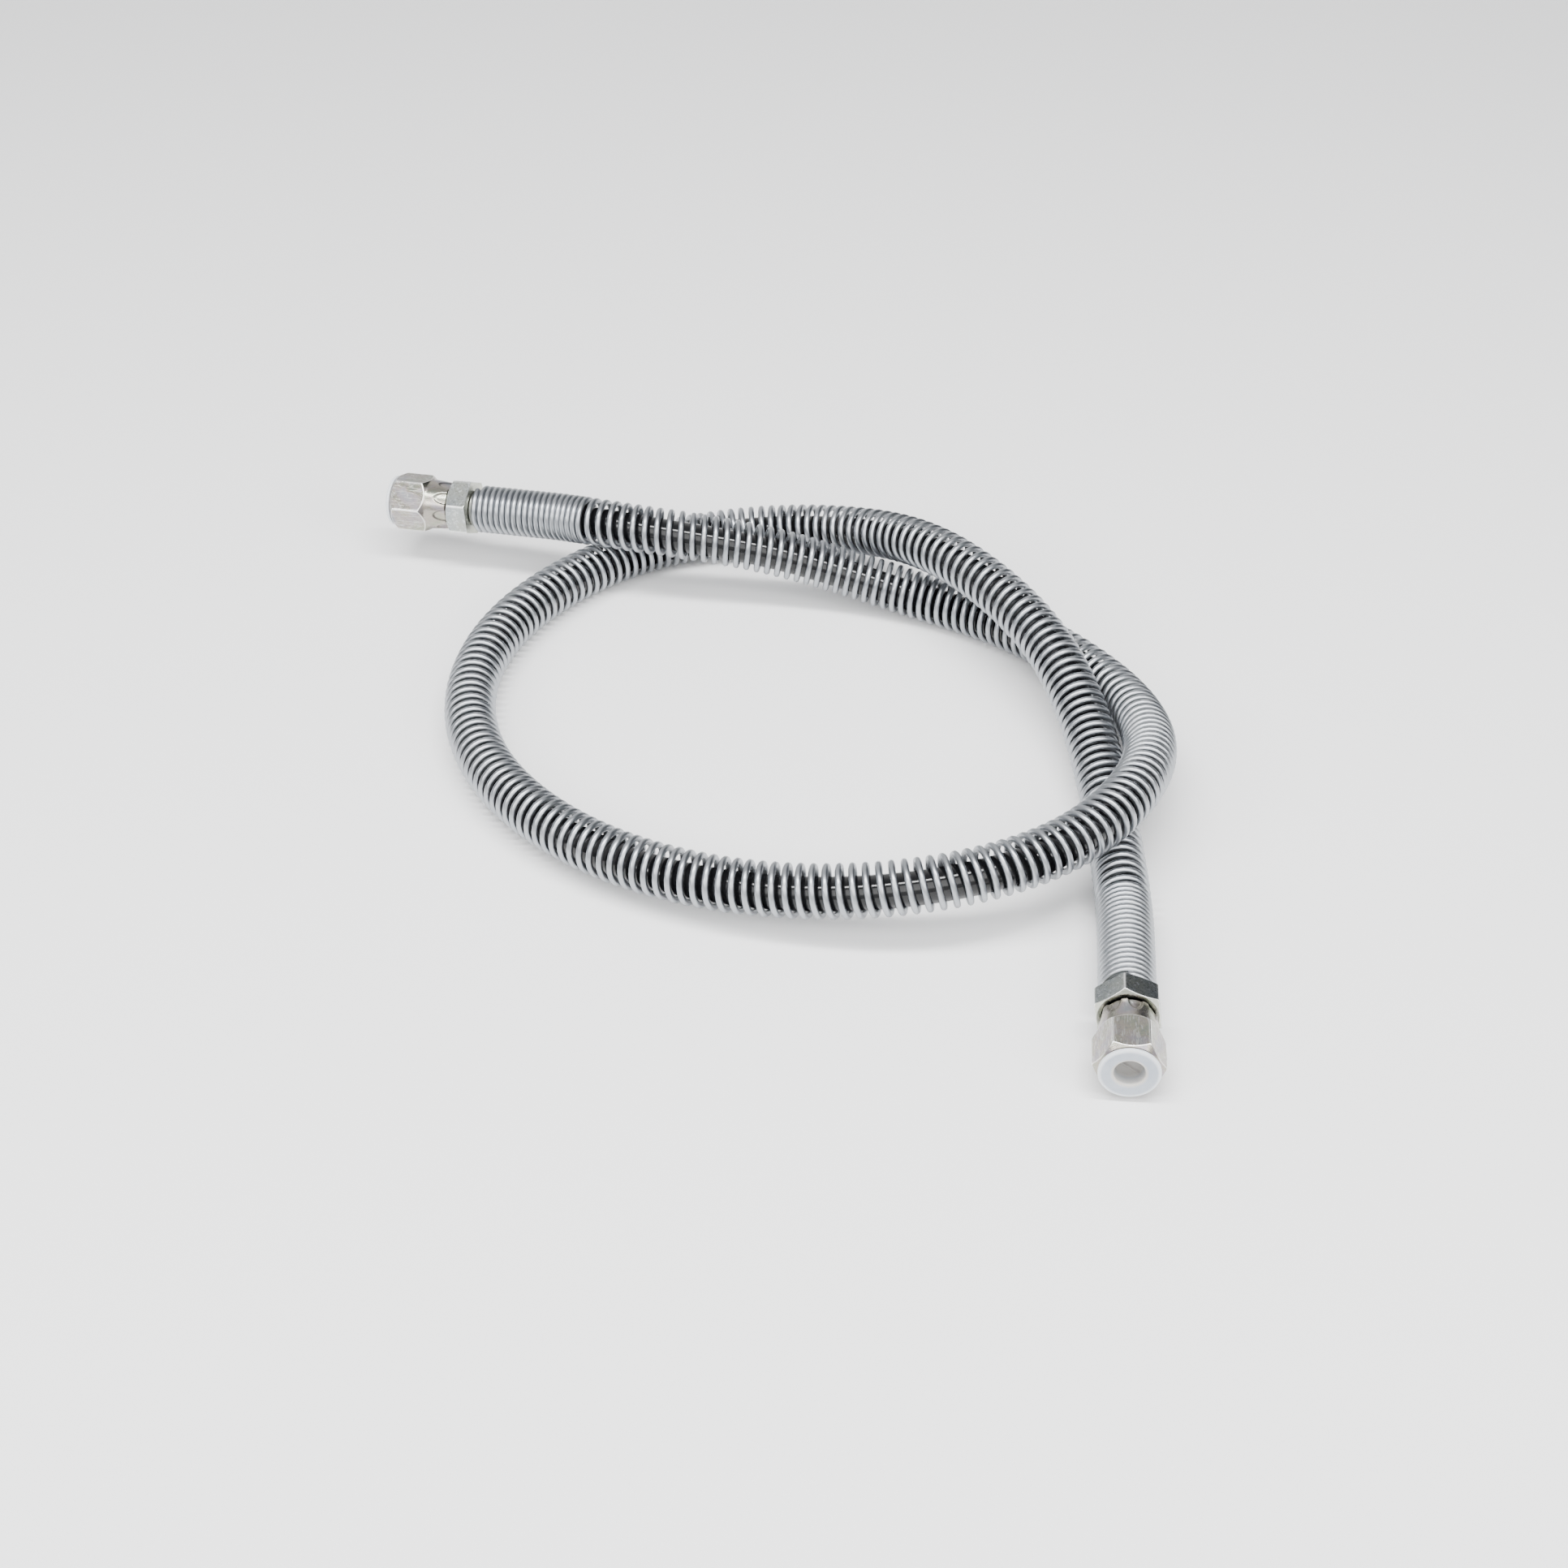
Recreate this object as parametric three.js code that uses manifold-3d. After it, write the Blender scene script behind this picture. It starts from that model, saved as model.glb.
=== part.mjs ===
// Spring-guarded hose assembly, lying in one loose overhand loop. Millimetres, +Z up.
// The origin is under the middle of the two end fittings, on the surface that the hose lies on.
// Both ends carry the same swivel fitting: a crimped insert, a free-turning nut and a push-in plug.
import * as THREE from 'three';
import { mergeVertices } from 'three/addons/utils/BufferGeometryUtils.js';
import Module from 'manifold-3d';

const wasm = await Module();
wasm.setup();

// Driving dimensions ------------------------------------------------------------------------

const GAP = 0.3; // clearance between touching pieces

// Hose and spring guard, as outer and inner diameters.
const COVER = { outer: 12.7, inner: 10.8, sides: 10 };
const BRAID = { outer: 10.2, inner: 9.0, sides: 8 };
const LINER = { outer: 8.4, inner: 6.4, sides: 8 };
const GUARD = { outer: 20.5, inner: 15.5, sides: 12 };
const HOSE_STEPS = 64;

// Ends of the hose: where the spring guard stops, the heading of the fitting and its tilt.
const INLET = { at: [-111.2, 158.8, 28.1], heading: 163.9, tilt: -3.2 };
const OUTLET = { at: [139.8, -141.1, 12.7], heading: -95, tilt: 0 };
const STRAIGHT_STEP = 13; // the crimped length behind each fitting stays straight
const STRAIGHT_COUNT = 4;

// The loose route between the two straight ends. It crosses itself three times, over, under and
// over again, which makes an open overhand knot.
const ROUTE = [
  [-65.5, 144.5, 31], [-34, 130.5, 34], [19, 128.5, 26.5], [74, 121.5, 8.5], [118, 93.5, 11.5],
  [154, 51.5, 11], [165.5, 4, 19.5], [156, -44.5, 33], [126.5, -82, 31], [79.5, -99, 27.5],
  [27.5, -93, 18], [-22, -78.5, 15], [-63, -51, 13], [-94.5, -10, 11], [-108, 39.5, 10.5],
  [-98.5, 92, 10.5], [-67.5, 135.5, 10.5], [-26.5, 164, 10], [19, 168.5, 13.5],
  [60.5, 150.5, 22.5], [90.5, 110, 37.5], [128.5, 59.5, 30], [142, 9.5, 15.5],
  [145, -38, 9.5], [144.5, -78.5, 11],
];

// The fitting, measured outwards along its axis from the end of the spring guard.
const HEX_ACROSS_FLATS = 22;
const BORE_RADIUS = 2;
const TAIL = { start: -24, radius: 2.9 };
const FERRULE = { start: -26, end: 1.3, outer: 7.45, inner: 6.65 };
const COLLAR = { start: 0.3, radius: 6.2 };
const FIXED_HEX = { start: 1.6, end: 10.7, chamfer: 0.9 };
const NECK_RADIUS = 5.6;
const SHOULDER = { start: 22.9, end: 24.4, radius: 7.6 };
const NOSE = { end: 31, radius: 6.2, chamfer: 0.3 };
const GROOVE = { start: 26.6, end: 28.8, radius: 5.75 };
const O_RING_SECTION = 0.7;
const NUT = { start: 11.8, end: 37, bore: 8.2, neckBore: 6, step: 22.3 };
const NUT_NECK = { end: 22.4, rear: 9.9, front: 10.7, round: 0.7 };
const NUT_HEX = { start: 20.8, chamfer: 2.2 };
const PLUG = { start: 33.4, stub: 7.8, flange: 10.65, flangeStart: 37.3, end: 38.8, lip: 0.4 };
const RECESS = { floor: 34.3, radius: 4.9, mouth: 5.3 };
const ROUND_SEGMENTS = 24;

// Degrees that a hexagon rests turned about its axis, from corner up for an insert and flat up for
// a nut.
const INLET_NUT_TURN = 13;
const OUTLET_INSERT_TURN = 9;

// Materials ---------------------------------------------------------------------------------

const steel = { color: 0xb4b7b8, roughness: 0.35, metalness: 1 };
const MATERIALS = {
  liner: { color: 0x1c1c1e, roughness: 0.6, metalness: 0 },
  braid: { color: 0xb8a98a, roughness: 0.8, metalness: 0 },
  cover: { color: 0x0b0b0d, roughness: 0.18, metalness: 0 },
  guard: { color: 0xaeb2b7, roughness: 0.3, metalness: 1 },
  zinc: steel,
  rubber: { color: 0x141414, roughness: 0.6, metalness: 0 },
  plug: { color: 0xe6e9ec, roughness: 0.35, metalness: 0 },
};
const material = (slot) => new THREE.MeshStandardMaterial(MATERIALS[slot]);

// Geometry helpers --------------------------------------------------------------------------

// A polygon of n sides whose flats lie at the radius, so that a round piece fits inside it.
const aroundRadius = (radius, sides) => radius / Math.cos(Math.PI / sides);

function polygonPoints(radius, sides) {
  const points = [];
  for (let i = 0; i < sides; i += 1) {
    const angle = (2 * Math.PI * i) / sides;
    points.push(new THREE.Vector2(radius * Math.cos(angle), radius * Math.sin(angle)));
  }
  return points;
}

// Turns a profile of [along, radius] points about the +Z axis. A ring's profile closes on itself.
function revolve(profile, segments = ROUND_SEGMENTS) {
  const points = profile.map(([along, radius]) => new THREE.Vector2(radius, along));
  return new THREE.LatheGeometry(points, segments).rotateX(Math.PI / 2);
}

function hexPrism(start, end) {
  const cornerRadius = HEX_ACROSS_FLATS / 2 / Math.cos(Math.PI / 6);
  const prism = new THREE.CylinderGeometry(cornerRadius, cornerRadius, end - start, 6);
  return prism.rotateX(Math.PI / 2).translate(0, 0, (start + end) / 2);
}

function toSolid(geometry) {
  const bare = geometry.clone();
  bare.deleteAttribute('normal');
  bare.deleteAttribute('uv');
  const merged = mergeVertices(bare, 1e-4);
  const mesh = new wasm.Mesh({
    numProp: 3,
    vertProperties: new Float32Array(merged.attributes.position.array),
    triVerts: new Uint32Array(merged.index.array),
  });
  return new wasm.Manifold(mesh);
}

function toGeometry(solid) {
  const mesh = solid.getMesh();
  const geometry = new THREE.BufferGeometry();
  geometry.setAttribute('position', new THREE.BufferAttribute(mesh.vertProperties, 3));
  geometry.setIndex(new THREE.BufferAttribute(mesh.triVerts, 1));
  geometry.computeVertexNormals();
  return geometry;
}

function node(name, geometry, slot) {
  const mesh = new THREE.Mesh(geometry, material(slot));
  mesh.name = name;
  return mesh;
}

// Route -------------------------------------------------------------------------------------

function outwardDirection({ heading, tilt }) {
  const turn = THREE.MathUtils.degToRad(heading);
  const rise = THREE.MathUtils.degToRad(tilt);
  const level = Math.cos(rise);
  return new THREE.Vector3(level * Math.cos(turn), level * Math.sin(turn), Math.sin(rise));
}

function straightPoints(end) {
  const outward = outwardDirection(end);
  const points = [];
  for (let i = 0; i < STRAIGHT_COUNT; i += 1) {
    points.push(new THREE.Vector3(...end.at).addScaledVector(outward, -STRAIGHT_STEP * i));
  }
  return points;
}

// A uniform cubic B-spline. Its ends are mirrored, so it starts and stops on the end points.
class RouteCurve extends THREE.Curve {
  constructor(points) {
    super();
    const count = points.length;
    const before = points[0].clone().multiplyScalar(2).sub(points[1]);
    const after = points[count - 1].clone().multiplyScalar(2).sub(points[count - 2]);
    this.points = [before, ...points, after];
    this.spans = count - 1;
    this.arcLengthDivisions = 1500;
  }

  getPoint(t, target = new THREE.Vector3()) {
    const place = t * this.spans;
    const span = Math.min(Math.floor(place), this.spans - 1);
    const u = place - span;
    const weights = [
      (1 - u) ** 3,
      3 * u ** 3 - 6 * u ** 2 + 4,
      -3 * u ** 3 + 3 * u ** 2 + 3 * u + 1,
      u ** 3,
    ];
    target.set(0, 0, 0);
    weights.forEach((weight, k) => target.addScaledVector(this.points[span + k], weight / 6));
    return target;
  }
}

const route = new RouteCurve([
  ...straightPoints(INLET),
  ...ROUTE.map((point) => new THREE.Vector3(...point)),
  ...straightPoints(OUTLET).reverse(),
]);

// Hose layers and spring guard --------------------------------------------------------------

function tubeAlongRoute({ outer, inner, sides }) {
  const section = new THREE.Shape(polygonPoints(outer / 2, sides));
  section.holes.push(new THREE.Path(polygonPoints(aroundRadius(inner / 2, sides), sides)));
  return new THREE.ExtrudeGeometry(section, {
    steps: HOSE_STEPS,
    bevelEnabled: false,
    extrudePath: route,
  });
}

// End fitting -------------------------------------------------------------------------------

function insertGeometry() {
  const slope = (SHOULDER.radius - NOSE.radius) / (NOSE.end - SHOULDER.end);
  const coneRadius = (along) => SHOULDER.radius - slope * (along - SHOULDER.end);
  const body = toSolid(revolve([
    [TAIL.start, BORE_RADIUS],
    [TAIL.start, TAIL.radius],
    [COLLAR.start, TAIL.radius],
    [COLLAR.start, COLLAR.radius],
    [FIXED_HEX.start + 1, COLLAR.radius],
    [FIXED_HEX.end - 1, NECK_RADIUS],
    [SHOULDER.start, NECK_RADIUS],
    [SHOULDER.start, SHOULDER.radius],
    [SHOULDER.end, SHOULDER.radius],
    [GROOVE.start, coneRadius(GROOVE.start)],
    [GROOVE.start, GROOVE.radius],
    [GROOVE.end, GROOVE.radius],
    [GROOVE.end, coneRadius(GROOVE.end)],
    [NOSE.end - NOSE.chamfer, coneRadius(NOSE.end - NOSE.chamfer)],
    [NOSE.end, NOSE.radius - NOSE.chamfer],
    [NOSE.end, BORE_RADIUS],
    [TAIL.start, BORE_RADIUS],
  ]));
  const cornerRadius = HEX_ACROSS_FLATS / 2 / Math.cos(Math.PI / 6);
  const chamferedDisc = toSolid(revolve([
    [FIXED_HEX.start, 0],
    [FIXED_HEX.start, cornerRadius + 0.1],
    [FIXED_HEX.end - FIXED_HEX.chamfer, cornerRadius + 0.1],
    [FIXED_HEX.end, HEX_ACROSS_FLATS / 2 - 0.4],
    [FIXED_HEX.end, 0],
  ], 2 * ROUND_SEGMENTS));
  const bore = toSolid(revolve([
    [TAIL.start - 1, 0],
    [TAIL.start - 1, BORE_RADIUS],
    [NOSE.end + 1, BORE_RADIUS],
    [NOSE.end + 1, 0],
  ]));
  const hex = toSolid(hexPrism(FIXED_HEX.start, FIXED_HEX.end)).intersect(chamferedDisc);
  return toGeometry(body.add(hex.subtract(bore)));
}

function ferruleGeometry() {
  return revolve([
    [FERRULE.start, FERRULE.inner],
    [FERRULE.start, FERRULE.outer],
    [FERRULE.end, FERRULE.outer],
    [FERRULE.end, FERRULE.inner],
    [FERRULE.start, FERRULE.inner],
  ]);
}

function oRingGeometry() {
  const ring = new THREE.TorusGeometry(
    GROOVE.radius + GAP + O_RING_SECTION, O_RING_SECTION, 8, ROUND_SEGMENTS,
  );
  return ring.translate(0, 0, (GROOVE.start + GROOVE.end) / 2);
}

function nutGeometry() {
  const cornerRadius = HEX_ACROSS_FLATS / 2 / Math.cos(Math.PI / 6);
  const faceRadius = HEX_ACROSS_FLATS / 2 - 0.6;
  const hexEnvelope = toSolid(revolve([
    [NUT_HEX.start, 0],
    [NUT_HEX.start, faceRadius],
    [NUT_HEX.start + NUT_HEX.chamfer, cornerRadius + 0.1],
    [NUT.end - NUT_HEX.chamfer, cornerRadius + 0.1],
    [NUT.end, faceRadius],
    [NUT.end, 0],
  ], 2 * ROUND_SEGMENTS));
  const hex = toSolid(hexPrism(NUT_HEX.start, NUT.end)).intersect(hexEnvelope);
  const neck = toSolid(revolve([
    [NUT.start, 0],
    [NUT.start, NUT_NECK.rear - NUT_NECK.round],
    [NUT.start + NUT_NECK.round, NUT_NECK.rear],
    [NUT_NECK.end, NUT_NECK.front],
    [NUT_NECK.end, 0],
  ]));
  const hollow = toSolid(revolve([
    [NUT.start - 1, 0],
    [NUT.start - 1, NUT.neckBore],
    [NUT.step, NUT.neckBore],
    [NUT.step, NUT.bore],
    [NUT.end + 1, NUT.bore],
    [NUT.end + 1, 0],
  ]));
  return toGeometry(hex.add(neck).subtract(hollow)).rotateZ(Math.PI / 6);
}

function plugGeometry() {
  return revolve([
    [PLUG.start, 0],
    [PLUG.start, PLUG.stub - PLUG.lip],
    [PLUG.start + PLUG.lip, PLUG.stub],
    [PLUG.flangeStart, PLUG.stub],
    [PLUG.flangeStart, PLUG.flange],
    [PLUG.end - PLUG.lip, PLUG.flange],
    [PLUG.end, PLUG.flange - PLUG.lip],
    [PLUG.end, RECESS.mouth],
    [RECESS.floor, RECESS.radius],
    [RECESS.floor, 0],
  ]);
}

// Stands a fitting on the end of the route: local +Z points outwards and local +Y points up.
function placeOnEnd(group, end) {
  const outward = outwardDirection(end);
  const sideways = new THREE.Vector3(0, 0, 1).cross(outward).normalize();
  const upward = outward.clone().cross(sideways);
  const basis = new THREE.Matrix4().makeBasis(sideways, upward, outward);
  group.quaternion.setFromRotationMatrix(basis);
  group.position.set(...end.at);
}

function fitting(prefix, end, insertTurn, nutTurn) {
  const group = new THREE.Group();
  const insert = node(`${prefix}_insert`, insertGeometry(), 'zinc');
  insert.rotation.z = THREE.MathUtils.degToRad(insertTurn);
  const nut = node(`${prefix}_swivel_nut`, nutGeometry(), 'zinc');
  nut.rotation.z = THREE.MathUtils.degToRad(nutTurn);
  group.add(insert, nut);
  group.add(node(`${prefix}_ferrule`, ferruleGeometry(), 'zinc'));
  group.add(node(`${prefix}_o_ring`, oRingGeometry(), 'rubber'));
  group.add(node(`${prefix}_plug`, plugGeometry(), 'plug'));
  placeOnEnd(group, end);
  return group;
}

// Assembly ----------------------------------------------------------------------------------

const assembly = new THREE.Group();
assembly.add(node('hose_liner', tubeAlongRoute(LINER), 'liner'));
assembly.add(node('hose_braid', tubeAlongRoute(BRAID), 'braid'));
assembly.add(node('hose_cover', tubeAlongRoute(COVER), 'cover'));
assembly.add(node('spring_guard', tubeAlongRoute(GUARD), 'guard'));
assembly.add(fitting('inlet', INLET, 0, INLET_NUT_TURN));
assembly.add(fitting('outlet', OUTLET, OUTLET_INSERT_TURN, 0));

export default assembly;
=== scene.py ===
"""The looks of a spring-guarded hose assembly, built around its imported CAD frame.

Metres, +Z up. Each fitting is modelled about its own axis: local +Z points outwards from the
end face of the spring guard, and local +Y points up.
"""

import math

import bpy
import numpy as np
from mathutils import Matrix, Vector


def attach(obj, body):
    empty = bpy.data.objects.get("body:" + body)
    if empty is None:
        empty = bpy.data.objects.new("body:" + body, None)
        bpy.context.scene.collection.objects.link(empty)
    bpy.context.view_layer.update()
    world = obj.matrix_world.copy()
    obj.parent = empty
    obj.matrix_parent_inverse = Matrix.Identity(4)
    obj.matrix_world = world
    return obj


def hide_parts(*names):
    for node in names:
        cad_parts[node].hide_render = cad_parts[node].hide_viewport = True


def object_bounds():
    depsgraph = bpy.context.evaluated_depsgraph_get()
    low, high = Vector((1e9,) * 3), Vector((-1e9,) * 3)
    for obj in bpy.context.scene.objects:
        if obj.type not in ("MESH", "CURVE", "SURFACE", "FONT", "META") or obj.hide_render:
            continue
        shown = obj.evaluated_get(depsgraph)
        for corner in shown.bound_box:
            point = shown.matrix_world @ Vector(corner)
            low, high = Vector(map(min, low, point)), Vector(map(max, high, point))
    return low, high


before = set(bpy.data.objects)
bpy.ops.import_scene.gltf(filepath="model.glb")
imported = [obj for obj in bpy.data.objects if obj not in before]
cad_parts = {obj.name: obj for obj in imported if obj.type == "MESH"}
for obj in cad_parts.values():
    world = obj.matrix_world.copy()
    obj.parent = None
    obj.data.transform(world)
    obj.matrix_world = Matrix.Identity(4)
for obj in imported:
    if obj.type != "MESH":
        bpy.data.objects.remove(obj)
CAD_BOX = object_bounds()

MM = 0.001

# Driving dimensions, as in the CAD --------------------------------------------------------------

COVER = {"outer": 12.7 * MM, "inner": 10.8 * MM}
BRAID = {"outer": 10.2 * MM, "inner": 9.0 * MM}
LINER = {"outer": 8.4 * MM, "inner": 6.4 * MM}
WIRE = 2.5 * MM
COIL_RADIUS = 9.0 * MM  # of the wire's centreline

INLET = {"at": (-0.1112, 0.1588, 0.0281), "heading": 163.9, "tilt": -3.2}
OUTLET = {"at": (0.1398, -0.1411, 0.0127), "heading": -95, "tilt": 0}
STRAIGHT_STEP = 13 * MM
STRAIGHT_COUNT = 4

ROUTE = [
    (-0.0655, 0.1445, 0.031), (-0.034, 0.1305, 0.034), (0.019, 0.1285, 0.0265),
    (0.074, 0.1215, 0.0085), (0.118, 0.0935, 0.0115), (0.154, 0.0515, 0.011),
    (0.1655, 0.004, 0.0195), (0.156, -0.0445, 0.033), (0.1265, -0.082, 0.031),
    (0.0795, -0.099, 0.0275), (0.0275, -0.093, 0.018), (-0.022, -0.0785, 0.015),
    (-0.063, -0.051, 0.013), (-0.0945, -0.010, 0.011), (-0.108, 0.0395, 0.0105),
    (-0.0985, 0.092, 0.0105), (-0.0675, 0.1355, 0.0105), (-0.0265, 0.164, 0.010),
    (0.019, 0.1685, 0.0135), (0.0605, 0.1505, 0.0225), (0.0905, 0.110, 0.0375),
    (0.1285, 0.0595, 0.030), (0.142, 0.0095, 0.0155), (0.145, -0.038, 0.0095),
    (0.1445, -0.0785, 0.011),
]

HEX_APOTHEM = 11 * MM
HEX_CORNER = HEX_APOTHEM / math.cos(math.radians(30))
NUT_FLAT_UP = math.radians(30)
INLET_NUT_TURN = math.radians(13)
OUTLET_INSERT_TURN = math.radians(9)


# Camera -----------------------------------------------------------------------------------------

CAMERA = {"at": (0.0215, -0.807, 0.6062), "tilt": math.radians(53), "lens": 59.26, "sensor": 36}


def make_camera():
    data = bpy.data.cameras.new("camera")
    data.sensor_width = CAMERA["sensor"]
    data.lens = CAMERA["lens"]
    camera = bpy.data.objects.new("camera", data)
    camera.location = CAMERA["at"]
    camera.rotation_euler = (CAMERA["tilt"], 0, 0)
    bpy.context.scene.collection.objects.link(camera)
    bpy.context.scene.camera = camera


make_camera()


# The route --------------------------------------------------------------------------------------

def outward(end):
    heading, tilt = math.radians(end["heading"]), math.radians(end["tilt"])
    level = math.cos(tilt)
    return np.array([level * math.cos(heading), level * math.sin(heading), math.sin(tilt)])


def straight_points(end):
    return [np.array(end["at"]) - outward(end) * STRAIGHT_STEP * i for i in range(STRAIGHT_COUNT)]


def spline(points, per_span=60):
    """A uniform cubic B-spline whose mirrored ends start and stop it on the end points."""
    points = np.array(points)
    points = np.vstack([2 * points[0] - points[1], points, 2 * points[-1] - points[-2]])
    spans = len(points) - 3
    place = np.linspace(0, spans, spans * per_span + 1)
    span = np.minimum(place.astype(int), spans - 1)
    u = (place - span)[:, None]
    weights = [(1 - u) ** 3, 3 * u**3 - 6 * u**2 + 4, -3 * u**3 + 3 * u**2 + 3 * u + 1, u**3]
    return sum(w / 6 * points[span + k] for k, w in enumerate(weights))


def lengths_along(line):
    return np.concatenate([[0], np.cumsum(np.linalg.norm(np.diff(line, axis=0), axis=1))])


def unit(vectors):
    return vectors / np.linalg.norm(vectors, axis=-1, keepdims=True)


class Line:
    """A smooth centreline with a frame that doesn't twist, read at any distance along it."""

    STEP = 1 * MM

    def __init__(self, points):
        along = lengths_along(points)
        self.length = along[-1]
        self.along = np.linspace(0, self.length, int(self.length / self.STEP) + 1)
        self.points = self._at(self.along, along, points)
        self.tangents = unit(np.gradient(self.points, axis=0))
        self.normals = self._carry(np.array([0.0, 0.0, 1.0]))

    def _carry(self, first):
        normals = []
        normal = first
        for tangent in self.tangents:
            normal = unit(normal - normal.dot(tangent) * tangent)
            normals.append(normal)
        return np.array(normals)

    @staticmethod
    def _at(wanted, along, values):
        return np.stack([np.interp(wanted, along, values[:, k]) for k in range(3)], axis=1)

    def frames(self, along):
        point, tangent, normal = (
            self._at(along, self.along, v) for v in (self.points, self.tangents, self.normals)
        )
        tangent = unit(tangent)
        normal = unit(normal - (normal * tangent).sum(1, keepdims=True) * tangent)
        return point, tangent, normal, np.cross(tangent, normal)


guard_line = Line(spline(
    straight_points(INLET) + [np.array(p) for p in ROUTE] + straight_points(OUTLET)[::-1]
))


def smooth_step(x):
    x = np.clip(x, 0, 1)
    return x * x * (3 - 2 * x)


def hose_points():
    """The hose is loose in its guard, so between the crimped ends it lies on the coils below it."""
    lowered, crimped, settles = 1.2 * MM, 45 * MM, 70 * MM
    along = guard_line.along
    from_end = np.minimum(along, guard_line.length - along)
    drop = lowered * smooth_step((from_end - crimped) / settles)
    down = np.array([0.0, 0.0, -1.0])
    across = down - (guard_line.tangents @ down)[:, None] * guard_line.tangents
    return guard_line.points + drop[:, None] * across


hose_line = Line(hose_points())


# Mesh helpers -----------------------------------------------------------------------------------

def grid_faces(rows, columns, wrap_rows):
    """Quads between neighbouring rows, whose columns close round on themselves."""
    low = np.arange(rows if wrap_rows else rows - 1)
    high = (low + 1) % rows
    left = np.arange(columns)
    right = (left + 1) % columns
    return np.stack([
        low[:, None] * columns + left, high[:, None] * columns + left,
        high[:, None] * columns + right, low[:, None] * columns + right,
    ], axis=-1).reshape(-1, 4)


def signed_volume(points, quads):
    a, b, c, d = (points[quads[:, k]] for k in range(4))
    return (np.einsum("ij,ij->i", a, np.cross(b, c)) + np.einsum("ij,ij->i", a, np.cross(c, d))).sum()


def add_mesh(name, grid, wrap_rows=False, surface=None, masks=None):
    """A closed body from grid[row, column], whose columns wrap; capped at the ends or wrapped.

    Its surface attribute, for the materials, is the place on the piece as it was first modelled.
    """
    rows, columns = grid.shape[:2]
    points = grid.reshape(-1, 3)
    surface = grid if surface is None else surface
    quads = grid_faces(rows, columns, wrap_rows)
    middle = points.mean(0)
    flip = signed_volume(points - middle, quads) < 0
    faces = [q[::-1] if flip else q for q in quads.tolist()]
    if not wrap_rows:
        first = list(range(columns))
        last = list(range((rows - 1) * columns, rows * columns))
        faces += [first, last[::-1]] if not flip else [first[::-1], last]
    mesh = bpy.data.meshes.new(name)
    mesh.from_pydata(points.tolist(), [], faces)
    mesh.polygons.foreach_set("use_smooth", [True] * len(mesh.polygons))
    layer = mesh.attributes.new("surface", "FLOAT_VECTOR", "POINT")
    layer.data.foreach_set("vector", surface.reshape(-1, 3).ravel())
    for key, values in (masks or {}).items():
        layer = mesh.attributes.new(key, "FLOAT", "POINT")
        layer.data.foreach_set("value", values.ravel())
    mesh.validate()
    mesh.update()
    piece = bpy.data.objects.new(name, mesh)
    bpy.context.scene.collection.objects.link(piece)
    return piece


def rounded(corners, step=0.5 * MM, arc_steps=4):
    """A profile through corners of (along, radius, fillet), with arcs at them and points between."""
    flat = np.array([c[:2] for c in corners])
    fillets = [c[2] if len(c) > 2 else 0 for c in corners]
    points = [flat[0]]
    for i in range(1, len(flat)):
        corner, fillet = flat[i], fillets[i] if i < len(flat) - 1 else 0
        back = flat[i - 1] - corner
        back_length = np.linalg.norm(back)
        back = back / back_length
        cut = 0.0
        arc = [corner]
        if fillet:
            ahead = flat[i + 1] - corner
            ahead_length = np.linalg.norm(ahead)
            ahead = ahead / ahead_length
            half = math.acos(np.clip(back @ ahead, -1, 1)) / 2
            cut = min(fillet / math.tan(half), 0.49 * back_length, 0.49 * ahead_length)
            a, b = corner + back * cut, corner + ahead * cut
            shares = np.linspace(0, 1, arc_steps + 1)[:, None]
            arc = list((1 - shares) ** 2 * a + 2 * shares * (1 - shares) * corner + shares**2 * b)
        start = points[-1]
        gap = np.linalg.norm(arc[0] - start)
        count = max(1, math.ceil(gap / step))
        points += [start + (arc[0] - start) * k / count for k in range(1, count)]
        points += arc
    return np.array(points)


def round_angles(count):
    return np.arange(count) * 2 * math.pi / count


def hex_angles(per_flat):
    """Angles round a hexagon, closer together towards its corners."""
    share = np.arange(per_flat) * 2 / per_flat - 1
    within = math.radians(30) * (1.5 * share - 0.5 * share**3)
    return (np.arange(6)[:, None] * math.radians(60) + within).ravel()


def smooth_min(a, b, blend):
    near = np.clip(0.5 + 0.5 * (b - a) / blend, 0, 1)
    return b * (1 - near) + a * near - blend * near * (1 - near)


def hex_radius(angles, edge_blend):
    """The radius of a hexagon with flats at 0, 60, ... degrees and slightly worn corners."""
    turn = math.radians(60)
    off = (angles + turn / 2) % turn - turn / 2
    own = HEX_APOTHEM / np.cos(off)
    next_flat = HEX_APOTHEM / np.cos(turn - np.abs(off))
    return smooth_min(own, next_flat, edge_blend)


def polar_grid(along, radius, angles):
    """Points from along[row] or along[row, column] and radius[row, column]."""
    along = np.broadcast_to(along if along.ndim == 2 else along[:, None], radius.shape)
    return np.stack([radius * np.cos(angles), radius * np.sin(angles), along], axis=-1)


def lathe(name, profile, segments=96):
    """A ring turned from a profile that closes on itself."""
    angles = round_angles(segments)
    radius = np.repeat(profile[:, 1:2], segments, axis=1)
    return add_mesh(name, polar_grid(profile[:, 0], radius, angles), wrap_rows=True)


# Hose layers ------------------------------------------------------------------------------------

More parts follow.
